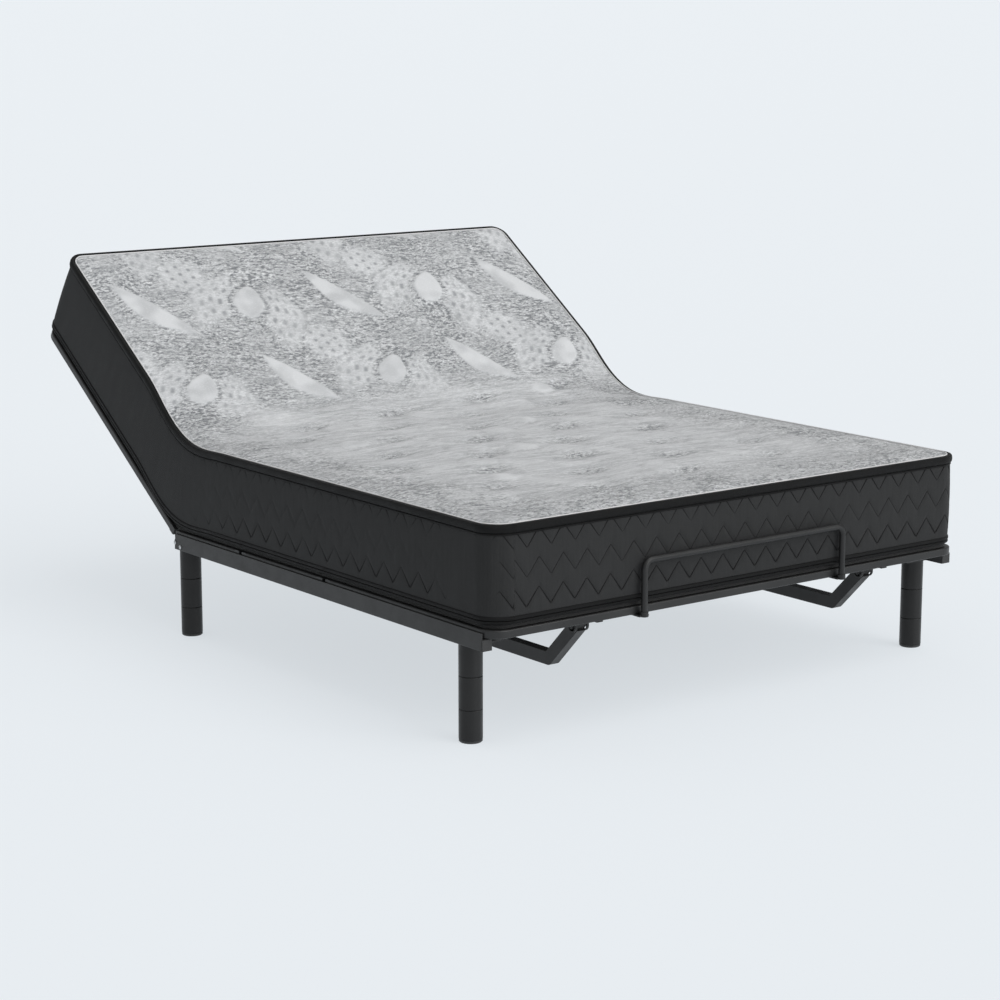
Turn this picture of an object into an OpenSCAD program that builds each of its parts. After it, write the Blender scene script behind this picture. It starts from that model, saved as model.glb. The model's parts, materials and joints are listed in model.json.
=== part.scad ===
// Adjustable bed base with its mattress: a short steel frame on four three-part legs, a fixed seat
// section, a head section lifted by one actuator, and a thigh and foot section lifted by another.
// Millimetres. X runs across the bed, +Y towards the head, +Z up.

/* [Overall] */
// Width over the side rails
bed_w = 1372; // [1300:1:1450]
// Length of the sleeping surface when flat
bed_len = 2032; // [2000:1:2060]
// Height of the deck frames' top face above the floor
deck_z = 258; // [250:1:266]
// Angle that the head section is stored at
head_rest = 34.5; // [20:0.5:40]

/* [Deck sections] */
// Length of the head section
head_len = 768; // [740:1:790]
// Length of the fixed seat section
seat_len = 300; // [300:1:305]
// Length of the thigh section
thigh_len = 350; // [345:1:355]
// Height of the deck frame's tube
tube_h = 18; // [16:1:20]
// Width of the deck frame's tube
tube_w = 20; // [18:1:22]
// Plan radius of the deck frame's outer corners
deck_corner_r = 44; // [36:1:60]
// Thickness of the deck boards
board_t = 12; // [9:1:12]
// Thickness of the black pad on each board
pad_t = 10; // [6:1:12]

/* [Mattress] */
// Thickness of the mattress
mattress_t = 222; // [180:1:240]
// Plan radius of the mattress corners at the foot end
mattress_corner_r = 58; // [50:1:100]
// Plan radius of the mattress corners at the head end
mattress_head_r = 36; // [30:1:100]

/* [Fixed frame] */
// Height of the side rail's outer face
rail_face_h = 38; // [36:1:40]
// Height and width of the rails' box section
rail_box = 25; // [24:1:26]
// Thickness of the rail steel
rail_wall = 2.5; // [2:0.5:3]
// Diameter of the legs
leg_d = 51; // [45:1:56]

/* [Retainer bar] */
// Distance between the two posts
retainer_w = 580; // [500:1:620]
// Height of the bar above the deck frame
retainer_h = 100; // [80:1:120]
// Diameter of the bar
retainer_d = 14; // [8:1:16]

/* [Hidden] */
$fn = 48;
steel_black = [0.17, 0.17, 0.18];
steel_dark = [0.10, 0.10, 0.11];
zinc = [0.62, 0.63, 0.65];
nylon_white = [0.85, 0.85, 0.82];
plastic_black = [0.07, 0.07, 0.08];
rubber_black = [0.05, 0.05, 0.05];
fabric_black = [0.09, 0.09, 0.10];
fabric_grey = [0.72, 0.73, 0.75];
board_brown = [0.45, 0.34, 0.22];

// Heights
frame_z = deck_z - tube_h;
pivot_z = deck_z - tube_h / 2;
board_z = deck_z - board_t;
pad_z = deck_z;
mattress_z = deck_z + pad_t;
rail_top = deck_z - 7;
rail_z = rail_top - rail_face_h;
box_top = rail_z + rail_box;

// Places along the bed, from the deck's foot end
foot_len = bed_len - head_len - seat_len - thigh_len;
knee_y = foot_len;
thigh_y = knee_y + thigh_len;
head_y = thigh_y + seat_len;
hinge_gap = 6;
rail_y0 = 29;
rail_y1 = head_y - 8;
leg_x = bed_w / 2 - 34;
leg_y = [112, head_y - 21];
link_rail_y = 512;
seat_rail_y = thigh_y + 58;
head_rail_y = head_y - 74;

// Half widths
rail_x = bed_w / 2;
box_in = rail_x - rail_box;
frame_hw = rail_x - 4;

// Retainer bar
retainer_y = -14;
retainer_bend = 20;
socket_r = 9;

// The middle of the whole object along Y at rest
y_low = retainer_y - socket_r;
y_high = head_y + head_len * cos(head_rest) + tube_h / 2 * sin(head_rest);
mid_y = (y_low + y_high) / 2;

// Hinges of the deck sections
hinge_x = [-560, 0, 560];
hinge_pin_r = 3;
hinge_eye_r = 5.5;
hinge_fit = 0.05;
ear_t = 6;
knuckle_t = 16;

// Lifting arms: pivot, length to the roller, and angle of the arm above level at rest
roller_r = 18;
roller_w = 20;
roller_bore = 5.05;
axle_r = 5;
lift_tube_r = 15;
lift_tube_hw = 345;
lift_fit = 0.05;
head_lift = [head_y - 12, pivot_z - 35];
head_arm_r = 312.19;
head_arm_angle = 33.501;
head_arm_x = 300;
thigh_lift = [thigh_y + 14, pivot_z - 35];
thigh_arm_r = 264.23;
thigh_arm_angle = 2.299;
thigh_arm_x = 200;
arm_t = 10;
arm_h = 24;
arm_knee_r = 41.4;
arm_knee_angle = 25.7;
lever_r = 70;
lever_t = 6;
lever_eye_r = 17;
lift_bracket_x = 330;
lift_bracket_t = 6;
lift_boss_r = 23;

// Actuators: pivot of each motor, where its rod's pin lies from the lever's eye, and the eye's clearance
rod_pin_r = 5;
head_motor = [head_y - 279, 138];
head_motor_x = 60;
head_lever_swing = 4.116;
head_pin_offset = [-0.17, 3.44];
head_eye_clear = 5.1;
foot_motor = [head_y - 64, 138];
foot_motor_x = -60;
foot_lever_swing = 15.943;
foot_pin_offset = [0.01, -1.52];
foot_eye_clear = 2.1;
motor_pin_r = 6;
housing_w = 62;
outer_tube_r = 18;
rod_r = 10;

function head_eye() = head_lift + lever_r * [sin(head_lever_swing), -cos(head_lever_swing)];
function foot_eye() = thigh_lift + lever_r * [sin(foot_lever_swing), -cos(foot_lever_swing)];
function head_pin() = head_eye() + head_pin_offset;
function foot_pin() = foot_eye() + foot_pin_offset;
function reach(a, b) = norm(b - a);
function slope(a, b) = atan2(b[1] - a[1], b[0] - a[0]);

// Bent links under the foot section: fixed pivot, bend and free pin
link_x = 420;
link_w = 24;
link_h = 29;
link_pivot = [500, 178];
link_bend = [134, 137.5];
link_pin = [46, 226];
link_pin_r = 6;
link_pivot_r = 8;
link_eye_clear = 4.6;

// Roller tracks, and how far along its section from the hinge each one runs
track_in = 12;
track_wall = 3;
track_drop = 13;
head_track = [230, 345];
thigh_track = [190, 295];

// ---------- Placing ----------

// The bed's own coordinates start at the deck's foot end.
module bed() {
    translate([0, -mid_y, 0]) children();
}

// The head section is drawn flat and turned up about its hinge.
module head_up() {
    translate([0, head_y, pivot_z])
        rotate([head_rest, 0, 0])
            translate([0, -head_y, -pivot_z])
                children();
}

// A 2D shape drawn as [y, z], given a thickness about the plane at x.
module plate_x(x, t) {
    translate([x - t / 2, 0, 0])
        rotate([90, 0, 90])
            linear_extrude(t)
                children();
}

// A round bar along X.
module bar_x(x0, x1, y, z, r) {
    translate([x0, y, z])
        rotate([0, 90, 0])
            cylinder(h = x1 - x0, r = r);
}

module both_sides() {
    children();
    mirror([1, 0, 0]) children();
}

// ---------- Outlines ----------

module rounded_rect(w, h, r) {
    translate([r, 0]) square([w - 2 * r, h]);
    translate([0, r]) square([w, h - 2 * r]);
    for (x = [r, w - r], y = [r, h - r])
        translate([x, y]) circle(r);
}

// A plan of half width hw from y0 to y1, with its two corners at y0 rounded by r.
module end_plan(hw, y0, y1, r) {
    translate([-hw, y0 + r]) square([2 * hw, y1 - y0 - r]);
    translate([r - hw, y0]) square([2 * (hw - r), r + 1]);
    for (x = [r - hw, hw - r])
        translate([x, y0 + r]) circle(r);
}

// A straight bar between two points of a [y, z] plane.
module strut(a, b, w) {
    translate(a)
        rotate(slope(a, b))
            translate([0, -w / 2])
                square([reach(a, b), w]);
}

// ---------- Deck section parts ----------

// Rounded tube frame round a section, with large corners at y0 where corner_r is given.
module tube_frame(y0, y1, corner_r) {
    edge_r = 3;
    inset = frame_hw - tube_w;
    for (s = [-1, 1])
        translate([s > 0 ? inset : -frame_hw, y0 + corner_r, frame_z])
            rotate([90, 0, 180])
                translate([-tube_w, 0, 0])
                    linear_extrude(y1 - y0 - corner_r)
                        rounded_rect(tube_w, tube_h, edge_r);
    for (y = [y0, y1 - tube_w])
        frame_cross_tube(y, y == y0 ? corner_r : 0, edge_r);
    if (corner_r > tube_w)
        both_sides()
            translate([corner_r - frame_hw, y0 + corner_r, frame_z])
                rotate([0, 0, 180])
                    rotate_extrude(angle = 90)
                        translate([corner_r - tube_w, 0])
                            rounded_rect(tube_w, tube_h, edge_r);
}

module frame_cross_tube(y, short, edge_r) {
    translate([short - frame_hw, y, frame_z])
        rotate([90, 0, 90])
            linear_extrude(2 * (frame_hw - short))
                rounded_rect(tube_w, tube_h, edge_r);
}

// The board fills the frame and lies flush with its top.
module deck_board(y0, y1, corner_r) {
    r = max(corner_r - tube_w, 1);
    translate([0, 0, board_z])
        linear_extrude(board_t)
            end_plan(frame_hw - tube_w, y0 + tube_w, y1 - tube_w, r);
}

// The pad covers the board and part of the tube.
module deck_pad(y0, y1, corner_r) {
    inset = 9;
    translate([0, 0, pad_z])
        linear_extrude(pad_t)
            end_plan(frame_hw - inset, y0, y1, max(corner_r - inset, 1));
}

// Hinge ears stand out from a frame end at y towards the hinge line at hy.
module hinge_ears(y, hy, offset_x, thick) {
    for (x = hinge_x, s = offset_x)
        plate_x(x + s, thick)
            difference() {
                union() {
                    translate([min(y, hy), pivot_z - hinge_eye_r])
                        square([abs(hy - y), 2 * hinge_eye_r]);
                    translate([hy, pivot_z]) circle(hinge_eye_r);
                }
                translate([hy, pivot_z]) circle(hinge_pin_r + hinge_fit);
            }
}

// Fixed ears on both sides of each knuckle.
module fork_ears(y, hy) {
    side = (knuckle_t + ear_t) / 2 + 0.4;
    hinge_ears(y, hy, [-side, side], ear_t);
}

module hinge_knuckles(y, hy) {
    hinge_ears(y, hy, [0], knuckle_t);
}

module hinge_pins(hy) {
    half = knuckle_t / 2 + ear_t + 3;
    for (x = hinge_x)
        bar_x(x - half, x + half, hy, pivot_z, hinge_pin_r);
}

// A turned-down channel that a lifting roller runs in, under the board.
module roller_track(x, y0, y1) {
    outer = track_in + track_wall;
    translate([x, y0, board_z])
        rotate([-90, 0, 0])
            linear_extrude(y1 - y0)
                difference() {
                    translate([-outer, 0]) square([2 * outer, track_drop]);
                    translate([-track_in, track_wall]) square([2 * track_in, track_drop]);
                }
}

// ---------- Mattress ----------

// Side view of a mattress block between two hinge lines. Each end leans back by its angle, so the
// blocks stay clear of each other when the deck folds.
module block_side(y0, lean0, y1, lean1) {
    low = mattress_z - pivot_z;
    high = low + mattress_t;
    polygon([
        [y0 + low * tan(lean0), mattress_z],
        [y1 - low * tan(lean1), mattress_z],
        [y1 - high * tan(lean1), mattress_z + mattress_t],
        [y0 + high * tan(lean0), mattress_z + mattress_t]
    ]);
}

module mattress_block(y0, lean0, y1, lean1) {
    intersection() {
        plate_x(0, bed_w - 8) block_side(y0, lean0, y1, lean1);
        union() children();
    }
}

head_lean = 30.6;
thigh_lean = 18;
joint_gap = 0.6;

// ---------- Fixed frame ----------

// A square tube whose outer face stands up above it as a lip.
module rail_profile() {
    edge_r = 2;
    difference() {
        union() {
            translate([0, edge_r]) square([rail_wall, rail_face_h - edge_r]);
            translate([edge_r, 0]) square([rail_box - edge_r, rail_box]);
            translate([0, edge_r]) square([rail_box, rail_box - edge_r]);
            translate([edge_r, edge_r]) circle(edge_r);
        }
        translate([rail_wall, rail_wall])
            square(rail_box - 2 * rail_wall);
    }
}

module side_rail() {
    color(steel_black)
        bed()
            translate([-rail_x, rail_y1, rail_z])
                rotate([90, 0, 0])
                    linear_extrude(rail_y1 - rail_y0)
                        rail_profile();
}

module side_rail_left() {
    side_rail();
}

module side_rail_right() {
    mirror([1, 0, 0]) side_rail();
}

module rail_end_caps() {
    face = 3;
    plug = 14;
    fit = 0.2;
    inset = 0.5;
    clear = rail_wall + fit;
    color(plastic_black)
        bed()
            both_sides()
                for (y = [rail_y0 - face, rail_y1]) {
                    translate([inset - rail_x, y, rail_z + inset])
                        cube([rail_box - 2 * inset, face, rail_box - 2 * inset]);
                    translate([-rail_x + clear, y == rail_y1 ? y - plug : y, rail_z + clear])
                        cube([rail_box - 2 * clear, plug + face, rail_box - 2 * clear]);
                }
}

module cross_rail(y) {
    color(steel_black)
        bed()
            translate([-box_in, y - rail_box / 2, rail_z])
                rotate([90, 0, 90])
                    linear_extrude(2 * box_in)
                        difference() {
                            rounded_rect(rail_box, rail_box, 2);
                            translate([rail_wall, rail_wall])
                                square(rail_box - 2 * rail_wall);
                        }
}

module link_cross_rail() {
    cross_rail(link_rail_y);
}

module seat_cross_rail() {
    cross_rail(seat_rail_y);
}

module head_cross_rail() {
    cross_rail(head_rail_y);
}

// ---------- Legs ----------

stud_r = 6;
socket_plate_t = 4;
leg_section_h = rail_z / 3;
glide_h = 6;

module at_each_leg() {
    bed()
        for (s = [-1, 1], y = leg_y)
            translate([s * leg_x, y, 0])
                children();
}

// A gusset with a threaded boss in the corner of the frame, welded inside the rail.
module leg_sockets() {
    reach_in = 62;
    plate_y = [-34, 11];
    boss_h = 20;
    color(steel_black)
        bed()
            for (s = [0, 1], y = leg_y)
                mirror([s, 0, 0])
                    translate([-leg_x, y, rail_z])
                        difference() {
                            union() {
                                translate([leg_x - box_in, plate_y[0], 0])
                                    cube([reach_in, plate_y[1] - plate_y[0], socket_plate_t]);
                                cylinder(h = boss_h, r = box_in - leg_x);
                            }
                            translate([0, 0, -1]) cylinder(h = boss_h + 2, r = stud_r + 0.2);
                        }
}

// One leg section: a turned tube with softened rims and a stud that screws into the one above.
module leg_section(z0, z1, stud_h) {
    rim = 1.2;
    r = leg_d / 2;
    socket_h = 22;
    difference() {
        union() {
            rotate_extrude()
                polygon([
                    [0, z0], [r - rim, z0], [r, z0 + rim], [r, z1 - rim], [r - rim, z1], [0, z1]
                ]);
            translate([0, 0, z1 - 1]) cylinder(h = stud_h + 1, r = stud_r);
        }
        if (z0 > glide_h)
            translate([0, 0, z0 - 1]) cylinder(h = socket_h + 1, r = stud_r + 0.2);
    }
}

module leg_upper_sections() {
    color(steel_dark)
        at_each_leg()
            leg_section(2 * leg_section_h, rail_z, 18);
}

module leg_middle_sections() {
    color(steel_dark)
        at_each_leg()
            leg_section(leg_section_h, 2 * leg_section_h, 20);
}

module leg_lower_sections() {
    color(steel_dark)
        at_each_leg()
            leg_section(glide_h, leg_section_h, 20);
}

module leg_glides() {
    r = leg_d / 2 - 0.5;
    color(plastic_black)
        at_each_leg()
            rotate_extrude()
                polygon([[0, 0], [r - 2, 0], [r, 2], [r, glide_h], [0, glide_h]]);
}

// Two domed bolts through each rail beside the head legs.
module frame_bolts() {
    head_r = 5;
    head_h = 3;
    step = 12;
    places = [[leg_y[1] + step, rail_z + 17], [leg_y[1] - step, rail_z + 9]];
    color(zinc)
        bed()
            both_sides()
                for (p = places)
                    translate([-rail_x, p[0], p[1]])
                        rotate([0, -90, 0])
                            intersection() {
                                cylinder(h = head_h, r = head_r);
                                translate([0, 0, head_h - 2 * head_r]) sphere(2 * head_r);
                            }
}

// Rubber pads on the rails that the folding sections come down on, and thin ones under the seat.
module deck_bumpers() {
    r = 9;
    inset = 11;
    rest_gap = 0.3;
    folding = [70, 330, 560, knee_y + 60, thigh_y - 60];
    fixed = [thigh_y + 40, head_y - 40];
    color(rubber_black)
        bed()
            for (s = [-1, 1]) {
                for (y = folding)
                    translate([s * (box_in + inset), y, box_top])
                        cylinder(h = frame_z - box_top - rest_gap, r = r);
                for (y = fixed)
                    translate([s * (box_in + inset), y, box_top])
                        cylinder(h = frame_z - box_top, r = r);
            }
}

// ---------- Seat section ----------

seat_y0 = thigh_y + hinge_gap;
seat_y1 = head_y - hinge_gap;

module seat_frame() {
    color(steel_black)
        bed() {
            tube_frame(seat_y0, seat_y1, 0);
            fork_ears(seat_y1, head_y);
            fork_ears(seat_y0, thigh_y);
        }
}

module seat_board() {
    color(board_brown) bed() deck_board(seat_y0, seat_y1, 0);
}

module seat_pad() {
    color(fabric_black) bed() deck_pad(seat_y0 + 1, seat_y1 - 6, 0);
}

module deck_hinge_pins() {
    color(zinc)
        bed() {
            hinge_pins(head_y);
            hinge_pins(thigh_y);
        }
}

module mattress_seat() {
    color(fabric_grey)
        bed()
            mattress_block(thigh_y, thigh_lean, head_y, head_lean)
                translate([-bed_w / 2, thigh_y, mattress_z])
                    cube([bed_w, seat_len, mattress_t]);
}

// ---------- Brackets on the fixed frame ----------

// A plate that carries a lifting tube in a round bush, welded to the face of a cross rail.
module lift_bracket(x, pivot, face_y) {
    web_drop = 16;
    web_h = rail_box + web_drop - 2;
    plate_x(x, lift_bracket_t)
        difference() {
            union() {
                translate(pivot) circle(lift_boss_r);
                translate([min(pivot[0], face_y), rail_z - web_drop])
                    square([abs(pivot[0] - face_y), web_h]);
            }
            translate(pivot) circle(lift_tube_r + lift_fit);
        }
}

module lift_brackets() {
    color(steel_black)
        bed()
            for (x = [-lift_bracket_x, lift_bracket_x]) {
                lift_bracket(x, head_lift, head_rail_y + rail_box / 2);
                lift_bracket(x, thigh_lift, seat_rail_y - rail_box / 2);
            }
}

// Two cheeks that hold a motor's rear eye, hung from a cross rail, with their pin.
module motor_bracket(x, motor, rail_y) {
    cheek_gap = 24;
    cheek_t = 5;
    cheek_r = 14;
    arm_deep = 18;
    arm_top = rail_z - 19;
    for (s = [-1, 1])
        plate_x(x + s * (cheek_gap + cheek_t) / 2, cheek_t)
            difference() {
                union() {
                    translate(motor) circle(cheek_r);
                    translate([motor[0] - cheek_r, motor[1]])
                        square([2 * cheek_r, arm_top - motor[1]]);
                    translate([min(motor[0] - cheek_r, rail_y - rail_box / 2), arm_top - arm_deep])
                        square([abs(rail_y - motor[0]) + cheek_r + rail_box / 2, arm_deep]);
                    translate([rail_y - rail_box / 2, arm_top - arm_deep])
                        square([rail_box, rail_z - arm_top + arm_deep]);
                }
                translate(motor) circle(motor_pin_r);
            }
    bar_x(x - cheek_gap / 2 - cheek_t, x + cheek_gap / 2 + cheek_t, motor[0], motor[1], motor_pin_r);
}

module motor_brackets() {
    color(steel_black)
        bed() {
            motor_bracket(head_motor_x, head_motor, seat_rail_y);
            motor_bracket(foot_motor_x, foot_motor, head_rail_y);
        }
}

module link_brackets() {
    cheek_t = 5;
    cheek_r = 16;
    heel = 8;
    play = 0.5;
    color(steel_black)
        bed()
            for (x = [-link_x, link_x], s = [-1, 1])
                plate_x(x + s * (link_w / 2 + play + cheek_t / 2), cheek_t)
                    difference() {
                        union() {
                            translate(link_pivot) circle(cheek_r);
                            translate([link_pivot[0] - cheek_r, link_pivot[1]])
                                square([2 * cheek_r + heel, rail_z - link_pivot[1]]);
                        }
                        translate(link_pivot) circle(link_pivot_r);
                    }
}

module link_pivot_pins() {
    half = link_w / 2 + 9;
    color(zinc)
        bed()
            for (x = [-link_x, link_x])
                bar_x(x - half, x + half, link_pivot[0], link_pivot[1], link_pivot_r);
}

// ---------- Electronics ----------

tray_z = rail_z + 11;
tray_t = 2;
tray_x = [140, 320];
control_box = [[-300, seat_rail_y + 45, tray_z - 38], [120, 85, 38]];
supply_box = [[175, seat_rail_y + 30, tray_z - 36], [70, 115, 36]];
box_split = 24;

// Sheet trays between the two cross rails, each turned up at its ends against them.
module electronics_trays() {
    y0 = seat_rail_y + rail_box / 2;
    y1 = head_rail_y - rail_box / 2;
    flange = 12;
    color(steel_black)
        bed()
            both_sides() {
                translate([tray_x[0], y0, tray_z])
                    cube([tray_x[1] - tray_x[0], y1 - y0, tray_t]);
                for (y = [y0, y1 - tray_t])
                    translate([tray_x[0], y, tray_z])
                        cube([tray_x[1] - tray_x[0], tray_t, flange]);
            }
}

module rounded_box(size, r) {
    linear_extrude(size[2]) rounded_rect(size[0], size[1], r);
}

// Upper part of the control box, against the tray.
module control_box_base() {
    size = control_box[1];
    color(plastic_black)
        bed()
            translate(control_box[0] + [0, 0, box_split])
                rounded_box([size[0], size[1], size[2] - box_split], 6);
}

button_r = 6;
button_travel = 1.5;
button_at = control_box[0] + [30, control_box[1][1] / 2, 0];

// Lower part of the control box: a shell with a hole for the button.
module control_box_cover() {
    size = control_box[1];
    wall = 2.5;
    color(plastic_black)
        bed()
            difference() {
                translate(control_box[0]) rounded_box([size[0], size[1], box_split], 6);
                translate(control_box[0] + [wall, wall, wall])
                    rounded_box([size[0] - 2 * wall, size[1] - 2 * wall, box_split], 4);
                translate(button_at - [0, 0, 1]) cylinder(h = wall + 2, r = button_r + 0.1);
            }
}

// The button stands out of the cover by more than its travel and has a collar inside.
module pairing_button() {
    stand_out = 2.5;
    stem = 8;
    collar_t = 2;
    collar_z = 2.8;
    color(nylon_white)
        bed()
            translate(button_at - [0, 0, stand_out]) {
                cylinder(h = stand_out + stem, r = button_r);
                translate([0, 0, stand_out + collar_z]) cylinder(h = collar_t, r = button_r + 2);
            }
}

// The power supply brick, with an inlet for a mains lead in its end.
module power_supply() {
    size = supply_box[1];
    inlet = [20, 14, 12];
    inlet_z = 12;
    color(plastic_black)
        bed()
            difference() {
                translate(supply_box[0]) rounded_box(size, 7);
                translate(supply_box[0] + [(size[0] - inlet[0]) / 2, size[1] - inlet[1] + 1, inlet_z])
                    cube(inlet);
            }
}

// A lead: straight round runs through a short list of points. Runs overlap a little at each bend.
module lead(points, r) {
    last = len(points) - 2;
    for (i = [0 : last]) {
        d = points[i + 1] - points[i];
        before = i > 0 ? lead_overrun : 0;
        after = i < last ? lead_overrun : 0;
        translate(points[i] - d * before / norm(d))
            rotate([0, acos(d[2] / norm(d)), atan2(d[1], d[0])])
                cylinder(h = norm(d) + before + after, r = r);
    }
}

wire_r = 3;
lead_overrun = 1.8;
box_side = -179.7;
supply_side = 174.7;
can_top = 167.3;
head_lead = [[113, 1035, can_top], [113, 1035, 198], [60, 1070, 205], [-130, 1085, 205], [box_side, 1100, 205]];
foot_lead = [[-113, 1150, can_top], [-113, 1150, 198], [-130, 1130, 205], [box_side, 1130, 205]];
supply_lead = [[supply_side, 1115, 212], [box_side, 1115, 212]];

module wiring() {
    color(rubber_black)
        bed() {
            lead(head_lead, wire_r);
            lead(foot_lead, wire_r);
            lead(supply_lead, wire_r);
        }
}

// ---------- Head section ----------

head_y0 = head_y + hinge_gap;
head_y1 = head_y + head_len;

// The section's outer corners are at the far end, so it is drawn towards -Y and mirrored.
module mirror_y(y) {
    translate([0, y, 0]) mirror([0, 1, 0]) translate([0, -y, 0]) children();
}

module head_frame() {
    centre = (head_y0 + head_y1) / 2;
    color(steel_black)
        bed()
            head_up() {
                mirror_y(centre) tube_frame(head_y0, head_y1, deck_corner_r);
                hinge_knuckles(head_y0, head_y);
            }
}

module head_board() {
    centre = (head_y0 + head_y1) / 2;
    color(board_brown)
        bed() head_up() mirror_y(centre) deck_board(head_y0, head_y1, deck_corner_r);
}

module head_pad() {
    y0 = head_y0 + 6;
    y1 = head_y1 - 9;
    color(fabric_black)
        bed() head_up() mirror_y((y0 + y1) / 2) deck_pad(y0, y1, deck_corner_r);
}

module head_tracks() {
    color(steel_dark)
        bed()
            head_up()
                for (x = [-head_arm_x, head_arm_x])
                    roller_track(x, head_y + head_track[0], head_y + head_track[1]);
}

module mattress_head() {
    y1 = head_y + head_len;
    color(fabric_grey)
        bed()
            head_up()
                mattress_block(head_y, head_lean, y1, 0)
                    translate([0, 0, mattress_z])
                        linear_extrude(mattress_t)
                            mirror_y_2d((head_y + y1) / 2)
                                end_plan(bed_w / 2 - 4, head_y, y1, mattress_head_r);
}

module mirror_y_2d(y) {
    translate([0, y]) mirror([0, 1]) translate([0, -y]) children();
}

// ---------- Thigh section ----------

thigh_y0 = knee_y + hinge_gap;
thigh_y1 = thigh_y - hinge_gap;

module thigh_frame() {
    color(steel_black)
        bed() {
            tube_frame(thigh_y0, thigh_y1, 0);
            hinge_knuckles(thigh_y1, thigh_y);
            fork_ears(thigh_y0, knee_y);
        }
}

module thigh_board() {
    color(board_brown) bed() deck_board(thigh_y0, thigh_y1, 0);
}

module thigh_pad() {
    color(fabric_black) bed() deck_pad(thigh_y0, thigh_y1 - 1, 0);
}

module thigh_tracks() {
    color(steel_dark)
        bed()
            for (x = [-thigh_arm_x, thigh_arm_x])
                roller_track(x, thigh_y - thigh_track[1], thigh_y - thigh_track[0]);
}

module knee_hinge_pins() {
    color(zinc) bed() hinge_pins(knee_y);
}

module mattress_thigh() {
    color(fabric_grey)
        bed()
            mattress_block(knee_y + joint_gap, 0, thigh_y, thigh_lean)
                translate([-bed_w / 2, knee_y, mattress_z])
                    cube([bed_w, thigh_len, mattress_t]);
}

// ---------- Foot section ----------

foot_y1 = knee_y - hinge_gap;

module foot_frame() {
    color(steel_black)
        bed() {
            tube_frame(0, foot_y1, deck_corner_r);
            hinge_knuckles(foot_y1, knee_y);
        }
}

module foot_board() {
    color(board_brown) bed() deck_board(0, foot_y1, deck_corner_r);
}

module foot_pad() {
    color(fabric_black) bed() deck_pad(9, foot_y1, deck_corner_r);
}

// A bent round bar that keeps the mattress from sliding off the foot end.
module retainer_bar() {
    r = retainer_d / 2;
    top = deck_z + retainer_h;
    low = frame_z;
    half = retainer_w / 2;
    color(steel_dark)
        bed()
            translate([0, retainer_y, 0]) {
                bar_x(retainer_bend - half, half - retainer_bend, 0, top, r);
                both_sides() {
                    translate([half, 0, low])
                        cylinder(h = top - retainer_bend - low, r = r);
                    translate([half - retainer_bend, 0, top - retainer_bend])
                        rotate([90, 0, 0])
                            rotate_extrude(angle = 90)
                                translate([retainer_bend, 0])
                                    circle(r);
                }
            }
}

// Sockets for the bar's ends, each on a plate bolted under the foot tube.
module retainer_brackets() {
    plate_t = 3.5;
    cup_h = 11;
    half_w = 13;
    color(steel_dark)
        bed()
            for (x = [-retainer_w / 2, retainer_w / 2]) {
                translate([x - half_w, retainer_y, frame_z - plate_t])
                    cube([2 * half_w, tube_w - retainer_y, plate_t]);
                translate([x, retainer_y, frame_z - plate_t])
                    difference() {
                        cylinder(h = cup_h, r = socket_r);
                        translate([0, 0, plate_t]) cylinder(h = cup_h, r = retainer_d / 2);
                    }
            }
}

// Cheeks with wide eyes under the foot tube, in which the links' free pins play.
module foot_link_brackets() {
    cheek_t = 5;
    plate_t = 3;
    flange_w = 16;
    flange_y = 3;
    eye_r = link_pin_r + link_eye_clear;
    cheek_r = eye_r + 3;
    play = 1;
    side = link_w / 2 + play + cheek_t / 2;
    color(steel_dark)
        bed()
            for (x = [-link_x, link_x]) {
                for (s = [-1, 1]) {
                    plate_x(x + s * side, cheek_t)
                        difference() {
                            union() {
                                translate(link_pin) circle(cheek_r);
                                translate([link_pin[0] - cheek_r, link_pin[1]])
                                    square([2 * cheek_r, frame_z - link_pin[1]]);
                            }
                            translate(link_pin) circle(eye_r);
                        }
                    plate_x(x + s * (side + flange_w / 2), flange_w)
                        translate([flange_y, frame_z - plate_t])
                            square([link_pin[0] + cheek_r - flange_y, plate_t]);
                }
            }
}

module mattress_foot() {
    color(fabric_grey)
        bed()
            mattress_block(0, 0, knee_y - joint_gap, 0)
                translate([0, 0, mattress_z])
                    linear_extrude(mattress_t)
                        end_plan(bed_w / 2 - 4, 0, knee_y, mattress_corner_r);
}

// ---------- Lifting arms ----------

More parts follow.
